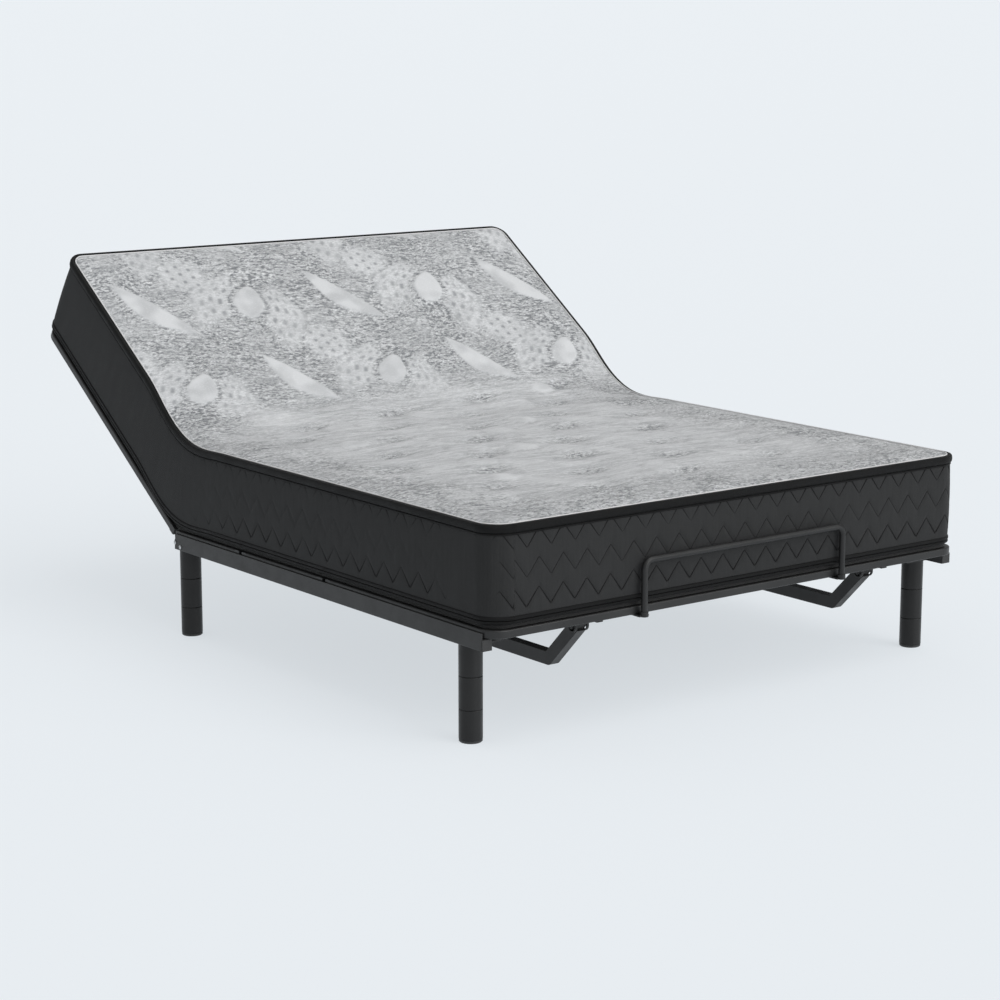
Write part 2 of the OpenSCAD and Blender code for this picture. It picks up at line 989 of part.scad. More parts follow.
// A lifting tube across the bed with two arms, a forked lever and the rollers' axles. It is drawn
// with its arms towards +Y about the origin; dir says which way they point on the bed.
module lift_arm(pivot, dir, arm_r, arm_angle, arm_x, lever_x, swing, eye_r) {
    axle_y = arm_r * cos(arm_angle);
    axle_z = arm_r * sin(arm_angle);
    arm_gap = 8;
    boss_r = lift_tube_r + 6;
    lift_tube_wall = 3;
    arm_at = arm_x - roller_w / 2 - arm_gap - arm_t / 2;
    eye = lever_r * [sin(swing), -cos(swing)];
    knee = arm_knee_r * [cos(arm_angle - arm_knee_angle), sin(arm_angle - arm_knee_angle)];
    translate([0, pivot[0], pivot[1]])
        mirror([0, dir < 0 ? 1 : 0, 0]) {
            difference() {
                bar_x(-lift_tube_hw, lift_tube_hw, 0, 0, lift_tube_r);
                bar_x(-lift_tube_hw - 1, lift_tube_hw + 1, 0, 0, lift_tube_r - lift_tube_wall);
            }
            both_sides() {
                plate_x(arm_at, arm_t)
                    difference() {
                        union() {
                            strut([0, 0], knee, arm_h);
                            strut(knee, [axle_y, axle_z], arm_h);
                            translate(knee) circle(arm_h / 2 + 1);
                            circle(boss_r);
                            translate([axle_y, axle_z]) circle(arm_h / 2 + 1);
                        }
                        circle(lift_tube_r - 1);
                    }
                bar_x(arm_at, arm_x + roller_w / 2 + 1, axle_y, axle_z, axle_r);
            }
            for (s = [-1, 1])
                plate_x(lever_x + s * (rod_r + 1 + lever_t / 2), lever_t)
                    difference() {
                        union() {
                            strut([0, 0], eye, 2 * lever_eye_r - 4);
                            circle(boss_r);
                            translate(eye) circle(lever_eye_r);
                        }
                        circle(lift_tube_r - 1);
                        translate(eye) circle(rod_pin_r + eye_r);
                    }
        }
}

module head_lift_arm() {
    color(steel_dark)
        bed()
            lift_arm(head_lift, 1, head_arm_r, head_arm_angle, head_arm_x, head_motor_x,
                head_lever_swing, head_eye_clear);
}

module foot_lift_arm() {
    color(steel_dark)
        bed()
            lift_arm(thigh_lift, -1, thigh_arm_r, thigh_arm_angle, thigh_arm_x, foot_motor_x,
                -foot_lever_swing, foot_eye_clear);
}

module roller(x, pivot, dir, arm_r, arm_angle) {
    y = pivot[0] + dir * arm_r * cos(arm_angle);
    z = pivot[1] + arm_r * sin(arm_angle);
    color(nylon_white)
        bed()
            difference() {
                bar_x(x - roller_w / 2, x + roller_w / 2, y, z, roller_r);
                bar_x(x - roller_w / 2 - 1, x + roller_w / 2 + 1, y, z, roller_bore);
            }
}

module head_roller_left() {
    roller(-head_arm_x, head_lift, 1, head_arm_r, head_arm_angle);
}

module head_roller_right() {
    roller(head_arm_x, head_lift, 1, head_arm_r, head_arm_angle);
}

module foot_roller_left() {
    roller(-thigh_arm_x, thigh_lift, -1, thigh_arm_r, thigh_arm_angle);
}

module foot_roller_right() {
    roller(thigh_arm_x, thigh_lift, -1, thigh_arm_r, thigh_arm_angle);
}

// ---------- Actuators ----------

housing_y = [18, 92];
rod_bore_y = 21;
tube_end = 168;
motor_can_r = 26;
motor_can_len = 78;
rod_start = 60;
rod_clear = 0.5;
running_fit = 0.05;

// Draws its children with +Y running from the motor's pivot towards the rod's pin.
module along_actuator(x, motor, pin) {
    translate([x, motor[0], motor[1]])
        rotate([slope(motor, pin), 0, 0])
            children();
}

// Gear housing with its rear eye and the motor standing out to one side.
module motor_housing(side) {
    half = housing_w / 2;
    height = 66;
    corner_r = 8;
    eye_half = 11;
    eye_wall_r = 12;
    can_y = housing_y[0] + 32;
    bore_len = 100;
    difference() {
        union() {
            bar_x(-eye_half, eye_half, 0, 0, eye_wall_r);
            translate([-eye_half, 0, -eye_wall_r])
                cube([2 * eye_half, housing_y[0] + 1, 2 * eye_wall_r]);
            translate([-half, housing_y[0], -height / 2])
                rotate([-90, -90, 0])
                    linear_extrude(housing_y[1] - housing_y[0])
                        rounded_rect(height, housing_w, corner_r);
            mirror([side < 0 ? 1 : 0, 0, 0])
                bar_x(half - 1, half + motor_can_len, can_y, 0, motor_can_r);
        }
        bar_x(-eye_half - 1, eye_half + 1, 0, 0, motor_pin_r + running_fit);
        translate([0, rod_bore_y, 0])
            rotate([-90, 0, 0])
                cylinder(h = bore_len, r = rod_r + rod_clear);
    }
}

module motor_tube() {
    translate([0, housing_y[1], 0])
        rotate([-90, 0, 0])
            difference() {
                cylinder(h = tube_end - housing_y[1], r = outer_tube_r);
                translate([0, 0, -1])
                    cylinder(h = tube_end - housing_y[1] + 2, r = rod_r + running_fit);
            }
}

// The rod, with a short boss at its end and a cross pin through it.
module actuator_rod(length) {
    boss_half = rod_r + 0.5;
    pin_half = rod_r + 10;
    color(zinc) {
        translate([0, rod_start, 0])
            rotate([-90, 0, 0])
                cylinder(h = length - rod_start, r = rod_r);
        bar_x(-boss_half, boss_half, length, 0, rod_r + 2);
        bar_x(-pin_half, pin_half, length, 0, rod_pin_r);
    }
}

module head_motor_housing() {
    color(plastic_black)
        bed() along_actuator(head_motor_x, head_motor, head_pin()) motor_housing(1);
}

module head_motor_tube() {
    color(zinc)
        bed() along_actuator(head_motor_x, head_motor, head_pin()) motor_tube();
}

module head_actuator_rod() {
    bed()
        along_actuator(head_motor_x, head_motor, head_pin())
            actuator_rod(reach(head_motor, head_pin()));
}

module foot_motor_housing() {
    color(plastic_black)
        bed() along_actuator(foot_motor_x, foot_motor, foot_pin()) motor_housing(-1);
}

module foot_motor_tube() {
    color(zinc)
        bed() along_actuator(foot_motor_x, foot_motor, foot_pin()) motor_tube();
}

module foot_actuator_rod() {
    bed()
        along_actuator(foot_motor_x, foot_motor, foot_pin())
            actuator_rod(reach(foot_motor, foot_pin()));
}

// ---------- Bent links ----------

module foot_link(x) {
    lug_r = 14;
    link_end_wall = 2.5;
    pin_out = 8;
    color(steel_dark)
        bed() {
            plate_x(x, link_w)
                difference() {
                    union() {
                        strut(link_bend, [link_pivot[0], link_bend[1]], link_h);
                        strut(link_bend, link_pin, link_h);
                        translate(link_bend) circle(link_h / 2);
                        translate(link_pin) circle(link_pin_r + link_end_wall);
                        translate([link_pivot[0], link_bend[1]]) circle(link_h / 2);
                        translate([link_pivot[0] - lug_r, link_bend[1]])
                            square([2 * lug_r, link_pivot[1] - link_bend[1]]);
                        translate(link_pivot) circle(lug_r);
                    }
                    translate(link_pivot) circle(link_pivot_r + running_fit);
                }
            bar_x(x - link_w / 2 - pin_out, x + link_w / 2 + pin_out, link_pin[0], link_pin[1], link_pin_r);
        }
}

module foot_link_left() {
    foot_link(-link_x);
}

module foot_link_right() {
    foot_link(link_x);
}

side_rail_left();
side_rail_right();
rail_end_caps();
link_cross_rail();
seat_cross_rail();
head_cross_rail();
leg_sockets();
leg_upper_sections();
leg_middle_sections();
leg_lower_sections();
leg_glides();
frame_bolts();
deck_bumpers();
seat_frame();
seat_board();
seat_pad();
lift_brackets();
motor_brackets();
link_brackets();
link_pivot_pins();
electronics_trays();
control_box_base();
control_box_cover();
pairing_button();
power_supply();
wiring();
deck_hinge_pins();
mattress_seat();
head_frame();
head_board();
head_pad();
head_tracks();
mattress_head();
thigh_frame();
thigh_board();
thigh_pad();
thigh_tracks();
knee_hinge_pins();
mattress_thigh();
foot_frame();
foot_board();
foot_pad();
retainer_bar();
retainer_brackets();
foot_link_brackets();
mattress_foot();
head_lift_arm();
foot_lift_arm();
head_roller_left();
head_roller_right();
foot_roller_left();
foot_roller_right();
head_motor_housing();
head_motor_tube();
head_actuator_rod();
foot_motor_housing();
foot_motor_tube();
foot_actuator_rod();
foot_link_left();
foot_link_right();
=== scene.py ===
"""An adjustable bed base with its mattress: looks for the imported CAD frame. Lengths are in metres."""

import json
import math

import bpy
import numpy as np
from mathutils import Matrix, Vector


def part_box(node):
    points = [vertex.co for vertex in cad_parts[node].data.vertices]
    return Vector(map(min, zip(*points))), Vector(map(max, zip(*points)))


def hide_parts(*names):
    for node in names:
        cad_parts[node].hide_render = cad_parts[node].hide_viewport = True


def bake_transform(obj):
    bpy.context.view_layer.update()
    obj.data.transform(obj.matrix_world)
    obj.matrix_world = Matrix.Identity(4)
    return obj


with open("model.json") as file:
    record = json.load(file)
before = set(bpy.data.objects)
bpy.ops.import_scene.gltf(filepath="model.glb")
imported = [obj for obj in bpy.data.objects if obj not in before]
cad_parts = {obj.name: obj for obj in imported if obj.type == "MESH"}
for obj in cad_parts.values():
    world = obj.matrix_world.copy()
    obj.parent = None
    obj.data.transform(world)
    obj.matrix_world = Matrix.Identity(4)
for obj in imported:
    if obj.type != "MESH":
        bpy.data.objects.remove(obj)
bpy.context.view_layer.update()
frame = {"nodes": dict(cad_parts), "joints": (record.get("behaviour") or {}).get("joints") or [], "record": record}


# ---------- Camera ----------

camera_data = bpy.data.cameras.new("camera")
camera_data.lens = 90.97
camera_data.sensor_width = 36
camera_data.clip_end = 5000
camera = bpy.data.objects.new("camera", camera_data)
camera.location = (-3.664, -4.8815, 1.514)
camera.rotation_euler = (math.radians(90 - 11.24), 0, math.radians(-37.30))
bpy.context.scene.collection.objects.link(camera)
bpy.context.scene.camera = camera
bpy.context.scene.view_settings.view_transform = "Standard"

# ---------- Places, from the frame ----------

JOINTS = {joint["name"]: joint for joint in frame["joints"]}
HEAD = Vector(JOINTS["head_lift"]["pos_m"])
THIGH = Vector(JOINTS["thigh_lift"]["pos_m"])
KNEE = Vector(JOINTS["knee_fold"]["pos_m"])
HEAD_ANGLE = math.radians(-JOINTS["head_lift"]["range_deg"][0])

BED_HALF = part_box("mattress_seat")[1].x
PAD_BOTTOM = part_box("seat_pad")[0].z
PAD_HALF, _, PAD_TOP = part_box("seat_pad")[1]
FOOT_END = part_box("mattress_foot")[0].y
BED_LENGTH = 2.032
HEAD_END = FOOT_END + BED_LENGTH

# Where the soft pieces turn from one section to the next: (behind, ahead) of each hinge.
HEAD_TURN = (0.150, 0.220)
THIGH_TURN = (0.174, 0.060)
KNEE_TURN = (0.120, 0.120)
MID_SEAT = THIGH.y + 0.064
MID_THIGH = (KNEE.y + THIGH.y) / 2
FAR = 9

# How much of a full rounding the mattress has over the head hinge.
BRIDGE = 0.42

LEAN = Vector((0, math.cos(HEAD_ANGLE / 2), math.sin(HEAD_ANGLE / 2)))
LEVEL = Vector((0, 1, 0))
ZONES = (
    # name, lowest and highest place along the bed, the two bodies, the hinge, the turn's direction and reach
    ("head", MID_SEAT, FAR, "base", "head_section", HEAD, LEAN, HEAD_TURN),
    ("thigh", MID_THIGH, MID_SEAT, "thigh_section", "base", THIGH, LEVEL, THIGH_TURN),
    ("foot", -FAR, MID_THIGH, "foot_section", "thigh_section", KNEE, LEVEL, KNEE_TURN),
)


def turn_ends(zone, spread):
    """Where a zone's turn starts and ends. A spread of 1 is the full reach."""
    hinge, direction, (behind, ahead) = zone[5:]
    return hinge - direction * behind * spread, hinge + direction * ahead * spread


def smooth(t):
    """0 to 1 with level ends."""
    t = np.clip(t, 0, 1)
    return t * t * (3 - 2 * t)


def lay(flat, bridge, spread):
    """Places at rest of points on the flat bed: across, along, and height over the deck pad's top.
    A bridge above 0 lifts them over the hinge, so that the bend is round and has no dip beside it."""
    x, along, height = flat.T
    start, end = turn_ends(ZONES[0], spread)
    line = end - start
    turn = np.zeros_like(along)
    rise = np.zeros_like(along)
    for _ in range(60):
        angle = turn * HEAD_ANGLE
        over = PAD_TOP + height + rise - HEAD.z
        y = HEAD.y + (along - HEAD.y) * np.cos(angle) - over * np.sin(angle)
        z = HEAD.z + (along - HEAD.y) * np.sin(angle) + over * np.cos(angle)
        t = ((y - start.y) * line.y + (z - start.z) * line.z) / line.length_squared
        t = np.clip(t, 0, 1)
        turn = 0.5 * turn + 0.5 * smooth(t)
        # A full bridge cancels the dip of a plain turn: this is the sum of the turn's slope errors.
        reach = line.length + np.maximum(height, 0) * HEAD_ANGLE
        rise = 0.5 * rise + 0.5 * bridge * 1.5 * HEAD_ANGLE * reach * (t * (1 - t)) ** 2
    return np.column_stack([x, y, z])


# ---------- Node helpers ----------


class Shade:
    """A material's nodes, with short ways to add and join them."""

    def __init__(self, name):
        self.material = bpy.data.materials.new(name)
        self.material.use_nodes = True
        self.tree = self.material.node_tree
        self.shader = self.tree.nodes["Principled BSDF"]

    def node(self, kind, inputs=None, **settings):
        made = self.tree.nodes.new("ShaderNode" + kind)
        for key, value in settings.items():
            setattr(made, key, value)
        for key, value in (inputs or {}).items():
            self.put(made.inputs[key], value)
        return made

    def put(self, socket, value):
        if isinstance(value, bpy.types.NodeSocket):
            self.tree.links.new(value, socket)
        else:
            socket.default_value = value

    def set(self, **values):
        for key, value in values.items():
            self.put(self.shader.inputs[key.replace("_", " ")], value)

    def place(self, scale=(1, 1, 1), turn=0.0, attribute=None):
        """Object coordinates, or a stored attribute, stretched and turned."""
        if attribute:
            source = self.node("Attribute", attribute_name=attribute).outputs["Vector"]
        else:
            source = self.node("TexCoord").outputs["Object"]
        return self.node("Mapping", {"Vector": source, "Scale": scale, "Rotation": (0, 0, turn)}).outputs[0]

    def noise(self, place, scale, detail=3.0, rough=0.55):
        return self.node("TexNoise", {"Vector": place, "Scale": scale, "Detail": detail,
                                      "Roughness": rough}).outputs["Fac"]

    def math(self, kind, a, b):
        made = self.node("Math", operation=kind)
        for socket, value in zip(made.inputs, (a, b)):
            self.put(socket, value)
        return made.outputs[0]

    def span(self, value, low, high, new_low=0.0, new_high=1.0):
        return self.node("MapRange", {"Value": value, "From Min": low, "From Max": high,
                                      "To Min": new_low, "To Max": new_high}).outputs[0]

    def mix(self, share, a, b):
        """A colour between a and b. The node's colour sockets are its last two inputs and its third output."""
        made = self.node("Mix", data_type="RGBA")
        for socket, value in zip((made.inputs["Factor"], made.inputs[6], made.inputs[7]), (share, a, b)):
            self.put(socket, value)
        return made.outputs[2]

    def bump(self, height, depth, normal=None):
        """Raises the surface by up to depth metres."""
        inputs = {"Height": height, "Distance": depth, "Strength": 1.0}
        if normal is not None:
            inputs["Normal"] = normal
        return self.node("Bump", inputs).outputs[0]


def grey(value, blue=0.0):
    """A grey, with a little blue in it."""
    return (value * (1 - blue), value, value * (1 + blue), 1)


# ---------- Materials ----------


def coated_steel(name, shade, rough):
    """Powder-coated steel: fine orange peel, cloudy gloss, and a painted highlight that makes its edges paler in
    patches.
    """
    edge, grain, depth = 0.06, 900, 0.00012
    s = Shade(name)
    place = s.place()
    cloud = s.noise(place, 7, 4)
    peel = s.noise(place, grain, 2)
    speck = s.noise(place, 260, 2)
    bevel = s.node("Bevel", {"Radius": 0.0012}, samples=4).outputs[0]
    flat = s.node("NewGeometry").outputs["Normal"]
    facing = s.node("VectorMath", operation="DOT_PRODUCT")
    for socket, value in zip(facing.inputs, (bevel, flat)):
        s.put(socket, value)
    # Painted highlight: where the bevel normal turns from the face, at the edges, the colour is made paler, in
    # noisy patches.
    painted_edge_highlight = s.span(facing.outputs["Value"], 0.995, 0.86)
    painted_edge_highlight = s.math("MULTIPLY", painted_edge_highlight, s.span(s.noise(place, 45, 3), 0.42, 0.62))
    base = s.mix(s.span(cloud, 0.35, 0.65), grey(shade * 0.86, 0.01), grey(shade * 1.12, 0.01))
    base = s.mix(s.span(speck, 0.60, 0.72, 0, 0.25), base, grey(shade * 1.5))
    s.set(Base_Color=s.mix(painted_edge_highlight, base, grey(shade + edge)), Metallic=0.2, Specular_IOR_Level=0.36,
          Roughness=s.span(s.noise(place, 30, 4), 0.3, 0.7, rough - 0.06, rough + 0.08),
          Normal=s.bump(peel, depth, bevel))
    return s.material


def bright_zinc(name, shade=0.62, rough=0.28, brushed=(8, 8, 400)):
    """Zinc-plated metal with fine drawn lines and small dull spots."""
    s = Shade(name)
    place = s.place(brushed)
    lines = s.noise(place, 3, 3)
    spots = s.noise(s.place(), 90, 4)
    s.set(Base_Color=s.mix(s.span(spots, 0.4, 0.65), grey(shade * 0.8, 0.02), grey(shade, 0.02)),
          Metallic=1.0, Roughness=s.span(spots, 0.3, 0.7, rough, rough + 0.16),
          Normal=s.bump(lines, 0.00008))
    return s.material


def moulded(name, shade, rough, grain=1400.0, depth=0.00010):
    """Moulded plastic: spark-eroded grain, faint flow marks."""
    s = Shade(name)
    place = s.place()
    cells = s.node("TexVoronoi", {"Vector": place, "Scale": grain}).outputs["Distance"]
    flow = s.noise(s.place((4, 4, 20)), 2.5, 3)
    s.set(Base_Color=s.mix(s.span(flow, 0.3, 0.7), grey(shade * 0.88), grey(shade * 1.1)),
          Roughness=s.span(flow, 0.3, 0.7, rough - 0.05, rough + 0.07), Normal=s.bump(cells, depth))
    return s.material


def rubber(name):
    """Matt black rubber with dusty patches."""
    s = Shade(name)
    dust = s.noise(s.place(), 40, 5)
    s.set(Base_Color=s.mix(s.span(dust, 0.5, 0.75, 0, 0.6), grey(0.012), grey(0.035)),
          Roughness=s.span(dust, 0.3, 0.7, 0.62, 0.85), Normal=s.bump(s.noise(s.place(), 700, 2), 0.00015))
    return s.material


def stained_board(name):
    """Black stained plywood: long grain, pores, a dull coat."""
    s = Shade(name)
    grain = s.noise(s.place((220, 9, 60)), 1, 4)
    rings = s.node("TexWave", {"Vector": s.place((1, 0.15, 1)), "Scale": 9, "Distortion": 6, "Detail": 3},
                   bands_direction="X").outputs["Fac"]
    shade = s.mix(s.span(grain, 0.35, 0.65), grey(0.014), grey(0.034))
    s.set(Base_Color=s.mix(s.span(rings, 0, 1, 0, 0.35), shade, (0.040, 0.034, 0.030, 1)),
          Roughness=s.span(grain, 0.3, 0.7, 0.55, 0.72), Normal=s.bump(grain, 0.0002))
    return s.material


def woven(name, shade, pitch, rough=0.85, depth=0.0004):
    """Plain weave from crossed waves, with fluff. The pitch is the width of one thread."""
    s = Shade(name)
    place = s.place(attribute="flat")
    waves = [s.node("TexWave", {"Vector": place, "Scale": 0.314 / pitch, "Distortion": 0.4, "Detail": 1},
                    bands_direction=way).outputs["Fac"] for way in ("X", "Y", "Z")]
    weave = s.math("MAXIMUM", s.math("MULTIPLY", waves[0], waves[1]), s.math("MULTIPLY", waves[1], waves[2]))
    fluff = s.noise(s.place(), 35, 5)
    base = s.mix(s.span(fluff, 0.35, 0.65), grey(shade * 0.8), grey(shade * 1.2))
    s.set(Base_Color=s.mix(s.span(weave, 0, 0.6, 0.5, 0), base, grey(shade * 0.35)),
          Roughness=s.span(fluff, 0.3, 0.7, rough - 0.05, rough + 0.05), Normal=s.bump(weave, depth))
    s.set(Sheen_Weight=0.15, Sheen_Roughness=0.5)
    return s.material


def border_cloth(name):
    """The mattress border: charcoal knit with fine vertical ribs, and dark stitches."""
    s = Shade(name)
    place = s.place(attribute="wrap")
    ribs = s.node("TexWave", {"Vector": place, "Scale": 110, "Distortion": 1.2, "Detail": 2,
                              "Detail Scale": 3}, bands_direction="X").outputs["Fac"]
    loops = s.node("TexWave", {"Vector": place, "Scale": 150, "Distortion": 0.8, "Detail": 1},
                   bands_direction="Y").outputs["Fac"]
    knit = s.math("MULTIPLY", ribs, loops)
    soft = s.noise(s.place((5, 1.2, 1), attribute="wrap"), 6, 5)
    streak = s.noise(s.place((160, 5, 1), attribute="wrap"), 1, 3)
    base = s.mix(s.span(soft, 0.3, 0.7), grey(0.021, 0.02), grey(0.027, 0.02))
    base = s.mix(s.span(streak, 0.35, 0.7, 0, 0.35), base, grey(0.035, 0.02))
    base = s.mix(s.span(knit, 0, 0.5, 0.35, 0), base, grey(0.011))
    stitch = s.node("Attribute", attribute_name="thread").outputs["Fac"]
    s.set(Base_Color=s.mix(stitch, base, grey(0.003)), Roughness=s.span(soft, 0.3, 0.7, 0.68, 0.8),
          Normal=s.bump(knit, 0.0005))
    s.set(Sheen_Weight=0.04, Sheen_Roughness=0.45, Specular_IOR_Level=0.22)
    return s.material


def jacquard(name):
    """The mattress top: pale knit with flowing dark flecks, smooth raised leaves and ovals, rows of dots. The
    flecks are thicker in the dimples as painted shade, and pale specks among them are painted highlights.
    """
    s = Shade(name)
    flat = s.node("Attribute", attribute_name="flat").outputs["Vector"]
    drift = s.node("TexNoise", {"Vector": flat, "Scale": 2.6, "Detail": 2}).outputs["Color"]
    shift = s.node("VectorMath", operation="MULTIPLY_ADD")
    for socket, value in zip(shift.inputs, (drift, (0.09, 0.09, 0), flat)):
        s.put(socket, value)
    mapping, flow = (s.node("Mapping", {"Vector": shift.outputs[0], "Rotation": (0, 0, 0.40),
                                        "Scale": (1, squeeze, 1)}).outputs[0] for squeeze in (2.0, 6.5))
    fleck = s.noise(mapping, 72, 2.0, 0.6)
    fine = s.noise(mapping, 170, 3, 0.6)
    streak = s.noise(flow, 11, 4, 0.6)
    thread = s.noise(flow, 46, 3, 0.6)
    cloud = s.noise(flat, 8, 3)
    masks = {mask: s.node("Attribute", attribute_name=mask).outputs["Fac"]
             for mask in ("fleck", "calm", "dots")}
    open_part = s.span(masks["calm"], 0, 0.8, 1, 0)
    # The fleck mask is partly the knit's own pattern and partly painted shade in the dimples.
    fleck_and_dimple_shade = s.math("MULTIPLY", masks["fleck"], s.span(cloud, 0.34, 0.60, 0.50, 1.15))
    fleck_and_dimple_shade = s.math("MULTIPLY", fleck_and_dimple_shade, open_part)
    dark = s.span(fleck, 0.53, 0.36)
    dark = s.math("MULTIPLY", s.math("ADD", dark, s.span(fine, 0.5, 0.36, 0, 0.5)), fleck_and_dimple_shade)
    dark = s.math("MINIMUM", s.math("MAXIMUM", dark, s.math("MULTIPLY", masks["dots"], 0.80)), 1.0)
    lined = s.math("ADD", s.span(streak, 0.58, 0.38, 0, 0.50), s.span(thread, 0.56, 0.38, 0, 0.50))
    lined = s.math("MULTIPLY", lined, open_part)
    pale = s.mix(s.span(cloud, 0.35, 0.65), grey(0.58, 0.015), grey(0.67, 0.015))
    shaded = s.mix(s.span(s.noise(flat, 16, 1), 0.38, 0.62), grey(0.46, 0.02), grey(0.60, 0.015))
    pale = s.mix(lined, pale, grey(0.31, 0.03))
    pale = s.mix(s.math("MULTIPLY", masks["calm"], 0.9), pale, shaded)
    # Painted highlights: pale specks from the fine noise lighten the knit's colour, with more of them where the
    # flecks are.
    lights = s.math("MULTIPLY", s.span(fine, 0.52, 0.66), s.math("ADD", s.math("MULTIPLY", fleck_and_dimple_shade, 0.6), 0.25))
    pale = s.mix(lights, pale, grey(0.80, 0.015))
    loops = s.node("TexVoronoi", {"Vector": flat, "Scale": 620}).outputs["Distance"]
    height = s.math("SUBTRACT", s.math("MULTIPLY", loops, 0.25), s.math("MULTIPLY", dark, 1.0))
    height = s.math("SUBTRACT", height, s.math("MULTIPLY", lined, 0.6))
    s.set(Base_Color=s.mix(dark, pale, grey(0.20, 0.05)), Roughness=s.span(fine, 0.3, 0.7, 0.72, 0.86),
          Normal=s.bump(height, 0.0016))
    s.set(Sheen_Weight=0.2, Sheen_Roughness=0.4)
    return s.material


def tape(name):
    """Edge tape: ribbed black ribbon, a little shiny."""
    s = Shade(name)
    place = s.place(attribute="wrap")
    ribs = s.node("TexWave", {"Vector": place, "Scale": 260, "Distortion": 0.3},
                  bands_direction="X").outputs["Fac"]
    soft = s.noise(s.place(), 25, 4)
    rim = s.node("Attribute", attribute_name="rim").outputs["Fac"]
    base = s.mix(s.span(soft, 0.3, 0.7), grey(0.0030), grey(0.0055))
    s.set(Base_Color=s.mix(rim, base, grey(0.72)), Roughness=s.span(soft, 0.3, 0.7, 0.42, 0.58),
          Normal=s.bump(ribs, 0.0003))
    s.set(Specular_IOR_Level=0.16)
    return s.material


MATERIALS = {
    "rail_steel": coated_steel("rail_steel", 0.030, 0.40),
    "deck_steel": coated_steel("deck_steel", 0.026, 0.34),
    "leg_steel": coated_steel("leg_steel", 0.014, 0.36),
    "fitting_steel": coated_steel("fitting_steel", 0.020, 0.38),
    "zinc": bright_zinc("zinc"),
    "tube_aluminium": bright_zinc("tube_aluminium", 0.5, 0.34, (300, 8, 300)),
    "black_plastic": moulded("black_plastic", 0.018, 0.42),
    "white_nylon": moulded("white_nylon", 0.62, 0.4, 900),
    "black_rubber": rubber("black_rubber"),
    "deck_board": stained_board("deck_board"),
    "deck_fabric": woven("deck_fabric", 0.012, 0.0022),
    "mattress_knit": jacquard("mattress_knit"),
    "mattress_border": border_cloth("mattress_border"),
    "mattress_piping": tape("mattress_piping"),
}

slot_of = {part["node"]: part["material_slot"] for part in frame["record"]["subparts"]}
for node_name, node in frame["nodes"].items():
    node.data.materials.clear()
    node.data.materials.append(MATERIALS[slot_of[node_name]])

# ---------- Mesh helpers ----------


def grid_faces(rows, columns, closed=False):
    """Quads of a grid of points stored row by row. A closed grid joins its last column to its first."""
    row, column = np.meshgrid(np.arange(rows - 1), np.arange(columns - (0 if closed else 1)), indexing="ij")
    following = (column + 1) % columns
    corners = (row * columns + column, row * columns + following,
               (row + 1) * columns + following, (row + 1) * columns + column)
    return np.stack([corner.ravel() for corner in corners], axis=1)


def new_mesh(name, points, faces):
    mesh = bpy.data.meshes.new(name)
    mesh.from_pydata(points.tolist(), [], faces.tolist())
    mesh.polygons.foreach_set("use_smooth", np.ones(len(faces), bool))
    mesh.update()
    return mesh


def store(mesh, name, values):
    """Keeps one number or one vector for each vertex."""
    values = np.asarray(values, np.float32)
    kind, field = ("FLOAT", "value") if values.ndim == 1 else ("FLOAT_VECTOR", "vector")
    mesh.attributes.new(name, kind, "POINT").data.foreach_set(field, values.ravel())


def link(name, mesh, slot):
    mesh.materials.append(MATERIALS[slot])
    piece = bpy.data.objects.new(name, mesh)
    bpy.context.scene.collection.objects.link(piece)
    return piece


def join(*parts):
    """One (points, faces, stored) from several."""
    points = np.concatenate([part[0] for part in parts])
    starts = np.cumsum([0] + [len(part[0]) for part in parts[:-1]])
    faces = np.concatenate([part[1] + start for part, start in zip(parts, starts)])
    names = {key for part in parts for key in part[2]}
    stored = {}
    for key in names:
        like = next(part[2][key] for part in parts if key in part[2])
        stored[key] = np.concatenate([
            part[2].get(key, np.zeros((len(part[0]),) + like.shape[1:])) for part in parts])
    return points, faces, stored


def soft_pieces(name, shape, slot, replaced=(), bridge=BRIDGE, spread=1.0):
    """Lays a flat-bed shape on the deck, rounded over the head hinge, and cuts it into three pieces along the bed;
    hides the CAD parts given for each piece.
    """
    flat, faces, stored = shape
    places = lay(flat, bridge, spread)
    whole = new_mesh(name, places, faces)
    normals = np.zeros(len(flat) * 3, np.float32)
    whole.vertices.foreach_get("normal", normals)
    normals = normals.reshape(-1, 3)
    bpy.data.meshes.remove(whole)
    middle = flat[faces][:, :, 1].mean(axis=1)
    made = []
    for zone_row in ZONES:
        zone, low, high, first, second = zone_row[:5]
        chosen = faces[(middle >= low) & (middle < high)]
        used, renumbered = np.unique(chosen, return_inverse=True)
        mesh = new_mesh(f"{name}_{zone}", places[used], renumbered.reshape(chosen.shape))
        store(mesh, "flat", flat[used])
        for key, values in stored.items():
            store(mesh, key, values[used])
        mesh.normals_split_custom_set_from_vertices(normals[used].tolist())
        piece = link(f"{name}_{zone}", mesh, slot)
        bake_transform(piece)
        made.append(piece)
    for piece, nodes in zip(made, replaced):
        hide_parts(*nodes)
    return made


# ---------- The mattress, on the flat bed ----------

# Corner radii at the foot and at the head, then the border mesh's step.
CORNERS = (0.058, 0.036)
STEP = 0.0032
CROWN = 0.009
EDGE_HEIGHT = 0.206
HEAD_EXTRA = 0.011


def edge_height(along):
    """Height of the top edge over the deck pad: the head part is a little thicker."""
    return EDGE_HEIGHT + HEAD_EXTRA * smooth((along - (HEAD.y - 0.25)) / 0.35)


